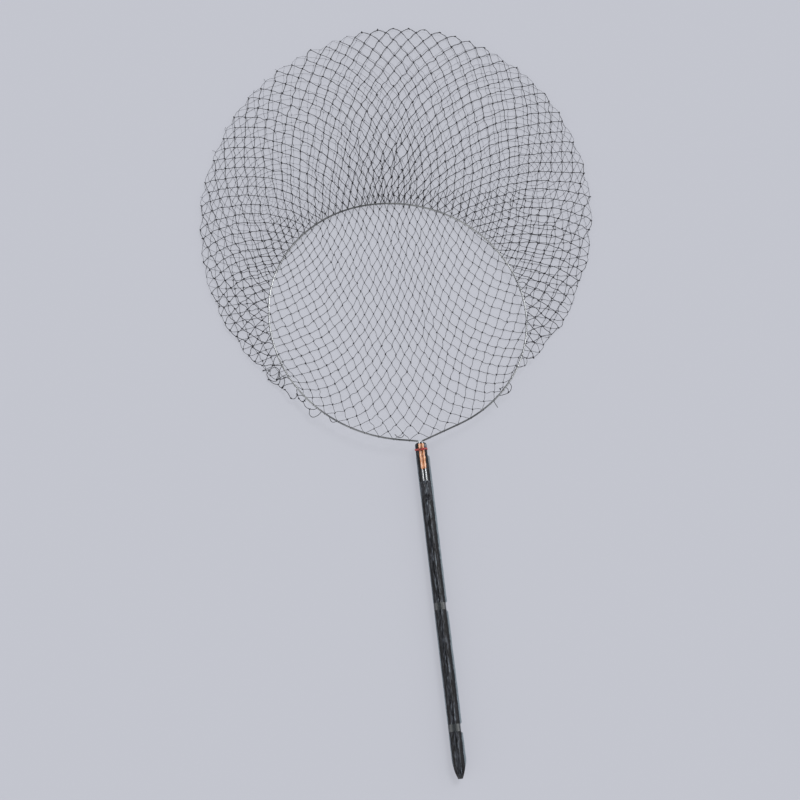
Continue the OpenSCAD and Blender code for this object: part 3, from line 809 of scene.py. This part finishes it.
def skinStations():
    # places along the pole and the film's radius there: round head, straight body, tapered tip
    r0, curve, start, tip = skin["radius"], skin["headRound"], skin["taperStart"], skin["tip"]
    head = [(0.0, 0.15), (-0.02, 2.5), (-0.05, 5.0)] + [
        (-curve + curve * math.cos(b), r0 - curve + curve * math.sin(b))
        for b in np.linspace(0, np.pi / 2, 7)]
    body = [(y, r0) for y in np.arange(head[-1][0] - skin["step"], start, -skin["step"])]
    taper = [(start + (tip + 3 - start) * k,
              r0 - (r0 - skin["tipR"]) * (0.35 * k + 0.65 * k ** 2.4))
             for k in np.linspace(0, 1, 19)[1:]]
    end = [(tip + 1.2, skin["tipR"] - 0.9), (tip + 0.3, skin["tipR"] - 2.4), (tip, 0.2)]
    return np.array(head + body + taper + end)


def creaseRelief(angle, y, random):
    # long shallow creases along the pole
    relief = np.zeros(np.broadcast_shapes(angle.shape, y.shape))
    for _ in range(skin["creases"]):
        at, where = random.uniform(-np.pi, np.pi), random.uniform(skin["tip"], 0)
        depth, width = random.uniform(-0.42, 0.36), random.uniform(0.05, 0.15)
        reach, skew = random.uniform(12, 60), random.normal(0, 0.004)
        across = hump(away(angle, at + skew * (y - where)), width)
        relief += depth * across * hump(y - where, reach)
    # short shallow cross wrinkles, where the shrunk film has puckered
    for _ in range(skin["puckers"]):
        at, where = random.uniform(0.3, 2.9), random.uniform(skin["tip"] + 20, -130)
        lean, long = random.uniform(-5, 5), random.uniform(3, 9)
        depth, width = random.uniform(-0.3, 0.26), random.uniform(1.6, 3.2)
        relief += depth * (hump(y - where - lean * away(angle, at), width)
                           * hump(away(angle, at) * skin["radius"], long))
    # a few that cross it where the film was twisted
    for at, where, depth, skew in skin["twists"]:
        relief += depth * hump(away(angle, at + skew * (y - where)), 0.1) * hump(y - where, 9)
    return relief


def skinTone(angle, y, flap, wide, bulge):
    # painted highlights along the top, greyer seams where the film is doubled, a painted highlight
    # on the head's bulge, painted shade in a groove beside the wide seam, and painted reflections
    # at the pole's sides
    # the seams are greyer where the film is doubled; the head's bulge is paler, a painted
    # highlight
    tone = 0.13 + 0.48 * np.clip(flap / 1.2, 0, 1) + 0.3 * bulge
    # painted highlights: paler lines along the upper side of the pole, broken along their length
    for at, width, share in skin["paintedHighlights"]:
        drift = 0.05 * np.sin(y * 0.02 + at * 30) + 0.03 * np.sin(y * 0.07 + at * 11)
        broken = 0.5 + 0.4 * np.sin(y * 0.11 + at * 50) + 0.35 * np.sin(y * 0.29 + at * 90)
        tone = tone + share * hump(away(angle, at + drift), width) * np.clip(broken, 0, 1.2)
    # painted shade: darker beside the wide seam on the upper right, and half as dark on the upper
    # left
    tone = tone - 0.2 * (hump(away(angle, 0.5), 0.38) + 0.5 * hump(away(angle, 2.5), 0.2))
    # painted reflections: paler at the pole's left and right sides along its seamed length
    return tone + (0.25 * hump(np.pi - np.abs(angle), 0.38) + 0.08 * hump(angle, 0.3)) * wide


def makeSkin():
    random = np.random.default_rng(3)
    # finer steps round the pole at its two seam flaps
    even = np.linspace(-np.pi, np.pi, 4001)
    total = np.cumsum(1 + 16 * hump(even, 0.05) + 10 * hump(np.pi - np.abs(even), 0.05))
    angle = np.interp(np.linspace(0, total[-1], 133)[:-1], total, even)[None, :]
    stations = skinStations()
    y, base = stations[:, :1], stations[:, 1:]
    bandPress = np.ones_like(y)
    for near, far in skin["bands"]:
        bandPress *= 1 - smoothStep(far - 3, far, y) * (1 - smoothStep(near, near + 3, y))
    top = hump(angle - np.pi / 2, 0.5) * smoothStep(-140, -128, y)
    relief = creaseRelief(angle, y, random)
    relief = np.where(relief > 0, relief * (1 - 0.85 * top), relief) * (0.12 + 0.88 * bandPress)
    relief = relief * smoothStep(0.25, 0.9, base / skin["radius"])
    # a slack bulge on the right of the head, drawn in under the tie
    bulge = hump(y + 9, 6) * hump(angle - 0.55, 0.6)
    ruck = np.sin(9 * angle + 1.3) * hump(y + 15, 9)
    relief = relief + 0.9 * bulge + 0.22 * ruck * (1 - top)
    relief = np.minimum(relief, 0.12 + 3 * smoothStep(2.5, 5, np.abs(y - skin["pinch"])))
    # gathered folds run down the taper into the tip
    going = smoothStep(skin["taperStart"] + 6, skin["tip"] + 6, y)
    fold = np.sin(7 * angle + 0.6) + 0.6 * np.sin(12 * angle + 2 + (y - skin["tip"]) * 0.05)
    relief = relief + going * fold * 0.085 * base
    wide = (bandPress * (1 - smoothStep(skin["flapStart"] - 4, skin["flapStart"], y))
            * smoothStep(skin["tip"] + 8, skin["taperStart"] + 8, y))
    seamAt = 0.012 * np.sin(y * 0.021) + 0.008 * np.sin(y * 0.093 + 1)
    reach = skin["wideFlap"] * (1 - 0.12 * (0.5 + 0.5 * np.sin(y * 0.13) * np.sin(y * 0.037)))
    near = np.abs(away(angle, seamAt))
    far = np.abs(away(angle, np.pi - 0.5 * seamAt))
    flap = wide * reach * np.clip((0.040 - near) / 0.012, 0, 1)
    flap = flap + wide * skin["narrowFlap"] * np.clip((0.06 - far) / 0.02, 0, 1)
    radius = base + relief + flap
    tone = skinTone(angle, y, flap, wide, bulge)
    x, z = radius * np.cos(angle), np.maximum(poleZ + radius * np.sin(angle), 0.15)
    y = np.broadcast_to(y, x.shape)
    points = np.stack([x, y, z], -1).reshape(-1, 3)
    uvs = np.stack([y, np.broadcast_to(angle, x.shape)], -1).reshape(-1, 2)
    wrap = points, tubeFaces(*x.shape), tone.ravel(), uvs
    meshPiece("film_skin", [wrap, ridgeOverTangs()], "pole", film, "film_sleeve",
              skin["sharpFrom"])
    print("stage: film")


def ridgeOverTangs():
    # the film that the tangs go under: a raised fold with an open lip
    u = np.linspace(-11.9, 11.9, 45)[None, :]
    v = np.concatenate([[0, 0.6, 1.4], np.linspace(2.4, 46, 34)])[:, None]
    y = skin["slit"] + 0.9 * np.sin(u * 0.9 + 0.4) + 0.4 * np.sin(u * 2.3) - v
    side = np.abs(u)
    pole = np.sqrt(np.maximum((skin["radius"] + 0.2) ** 2 - u ** 2, 1.0))
    crown = 18.9 - 0.9 * np.cos(np.pi * u / 7) ** 2
    shoulder = 16.1 + np.sqrt(np.maximum(2.8 ** 2 - np.maximum(side - 3.5, 0) ** 2, 0.0))
    tent = 17.3 - (side - 6.0) * (17.3 - 5.8) / 5.7
    raised = np.where(side <= 3.5, crown, np.where(side <= 6.0, shoulder, tent))
    down = smoothStep(skin["ridgeEnd"] + 1, skin["ridgeEnd"] - 13, y)
    ruck = 0.3 * np.sin(u * 0.9 + y * 0.24) + 0.2 * np.sin(u * 0.5 - y * 0.42 + 1)
    height = (raised * (1 - down) + pole * down + ruck * smoothStep(0, 6, v) * (1 - 0.5 * down)
              + 0.8 * np.exp(-v / 1.0) * (side < 8))
    height = np.where(side > 11.5, pole - 0.4, np.maximum(height, pole - 0.1))
    # painted highlight: a pale slanting patch across the fold's crown, a glint on the twisted
    # film; the film is also paler right along its open lip
    tone = (0.14 + 0.16 * hump(u - 1.8 - 0.25 * (y + 112), 1.2) * hump(y + 112, 9)
            + 0.10 * np.exp(-v / 1.5))
    rows, columns = height.shape
    u, count = np.broadcast_to(u, y.shape), rows * columns
    top = np.stack([u, y, poleZ + height], -1).reshape(-1, 3)
    points = np.concatenate([top, top - (0, 0, 0.35)])
    grid = gridFaces(rows, columns, False)
    index = np.arange(count).reshape(rows, columns)
    edge = [*index[0], *index[1:, -1], *index[-1, -2::-1], *index[-2:0:-1, 0]]
    faces = [f[::-1] for f in grid] + [[i + count for i in f] for f in grid]
    faces += [[a, b, b + count, a + count] for a, b in zip(edge, edge[1:] + edge[:1])]
    uvs = np.tile(np.stack([y, u], -1).reshape(-1, 2), (2, 1))
    return points, faces, np.tile(tone.ravel(), 2), uvs


makeSkin()

sleeve = {"gap": hoop["tangGap"], "rise": hoop["tangZ"] - poleZ, "radius": 2.7, "near": -6.6,
          "far": -66, "waist": 1.2, "ragged": 1.4, "looseEdge": 1.0, "ripples": 26}


def makeSleeve():
    # tape round both tangs, drawn in between them, torn at its lower end
    random = np.random.default_rng(5)
    a, v = circle(56)[None, :], np.linspace(0, 1, 64)[:, None]
    half = sleeve["gap"] / 2
    x = (half + sleeve["radius"]) * np.cos(a)
    tall = np.sqrt(np.maximum(sleeve["radius"] ** 2 - np.maximum(np.abs(x) - half, 0) ** 2, 0))
    waist = np.where(np.abs(x) < half, sleeve["waist"] * np.cos(np.pi * x / sleeve["gap"]) ** 2, 0)
    z = np.sign(np.sin(a)) * (tall - waist)
    torn = sleeve["ragged"] * (np.sin(2 * a + 1) + 0.6 * np.sin(5 * a)) * smoothStep(0.9, 1.0, v)
    y = sleeve["near"] + (sleeve["far"] - sleeve["near"]) * v + torn
    ripple = np.zeros_like(y)
    for _ in range(sleeve["ripples"]):
        at, width, depth = (random.uniform(*span) for span in ((-66, -6), (0.8, 3), (-0.16, 0.2)))
        ripple += depth * hump(y - at + random.uniform(-0.5, 0.5) * x, width)
    loose = (np.clip((x - half) / sleeve["radius"], 0, 1) * sleeve["looseEdge"]
             * np.clip(np.sin(y * 0.42) + 0.7 * np.sin(y * 0.19 + 2), 0, 1.5))
    x, z = x * (1 + ripple * 0.05) + loose, np.maximum(z * (1 + ripple * 0.16), -2.55)
    # painted highlight: paler over each wire and on the raised ripples, with painted shade in the
    # sunk ones
    over = hump(np.abs(x) - half - 0.7, 1.35)
    tone = 0.14 + 0.66 * over * (0.85 + 0.15 * np.sin(y * 0.3)) + 0.7 * ripple
    tone = tone + 0.15 * hump(y + 58, 6) * (np.abs(x) < 5)
    points = np.stack([x, y, poleZ + sleeve["rise"] + z], -1).reshape(-1, 3)
    uvs = np.stack([y, 0 * y + a], -1).reshape(-1, 2)
    wrap = points, tubeFaces(*y.shape), tone.ravel(), uvs
    meshPiece("amber_tape", [wrap], "hoop", amber, "amber_sleeve")
    print("stage: amber tape")


makeSleeve()

tie = {"near": -18.6, "turns": 3, "pitch": 1.5, "cordR": 0.72, "poleR": 13.3,
       "gap": hoop["tangGap"], "rise": hoop["tangZ"] - poleZ, "overR": 3.05, "slant": 0.3,
       "knotX": -3.4, "knotR": 1.5, "lumpR": 0.7, "endR": 0.5}


def tiePoint(angle, lift):
    # a place on the tie's path round the pole and over the sleeved tangs, for an outward angle
    wide, small = tie["poleR"] + lift, tie["overR"] + lift
    far = math.hypot(tie["gap"] / 2, tie["rise"])
    touch = math.atan2(tie["rise"], tie["gap"] / 2) - math.acos((wide - small) / far)
    a = angle % (2 * math.pi)
    out = np.array([math.cos(a), math.sin(a)])
    if touch < a < math.pi - touch:
        side = 1 if a < math.pi / 2 else -1
        return np.array([side * tie["gap"] / 2, tie["rise"]]) + small * out
    return wide * out


def makeTie():
    # closer steps over the tangs
    steps = np.concatenate([np.linspace(0.42, 2.72, 26), np.linspace(2.8, 0.36 + 2 * math.pi, 34)])
    rounds = []
    for turn in range(tie["turns"]):
        for a in steps:
            x, z = tiePoint(a, tie["cordR"])
            share = turn + (a - steps[0]) / (2 * math.pi)
            aslant = tie["slant"] * (tie["rise"] + tie["overR"] - z)
            rounds.append((x, tie["near"] - tie["pitch"] * share + aslant
                           + 0.25 * math.sin(2 * a + turn), poleZ + z))
    # a reef knot lump left of the middle, and its two short ends
    high = poleZ + tie["rise"] + tie["overR"] + 2 * tie["cordR"]
    middle = np.array([tie["knotX"], tie["near"] - 0.5 * tie["turns"] * tie["pitch"], high])
    t = np.linspace(0, 2 * math.pi, 40)
    bend = np.column_stack([0.31 * tie["knotR"] * (np.sin(t) + 2 * np.sin(2 * t)),
                            0.45 * tie["knotR"] * (np.cos(t) - 2 * np.cos(2 * t)),
                            0.35 - 0.35 * np.sin(3 * t)])
    parts = [cordAlong(rounds, tie["cordR"], 8, 0.42),
             cordAlong(middle + bend, tie["lumpR"], 7, -0.12)]
    for x, y, lift in ((-2.5, -5.5, -1.0), (3.0, 3.4, -0.6)):
        ends = [middle, middle + (0.5 * x, 0.5 * y, 0.2), middle + (x, y, lift)]
        parts.append(cordAlong(smoothPath(ends, 6), tie["endR"], 7, 0.2))
    meshPiece("red_tie", parts, "pole", redCord, "neck_tie")
    print("stage: tie")


makeTie()
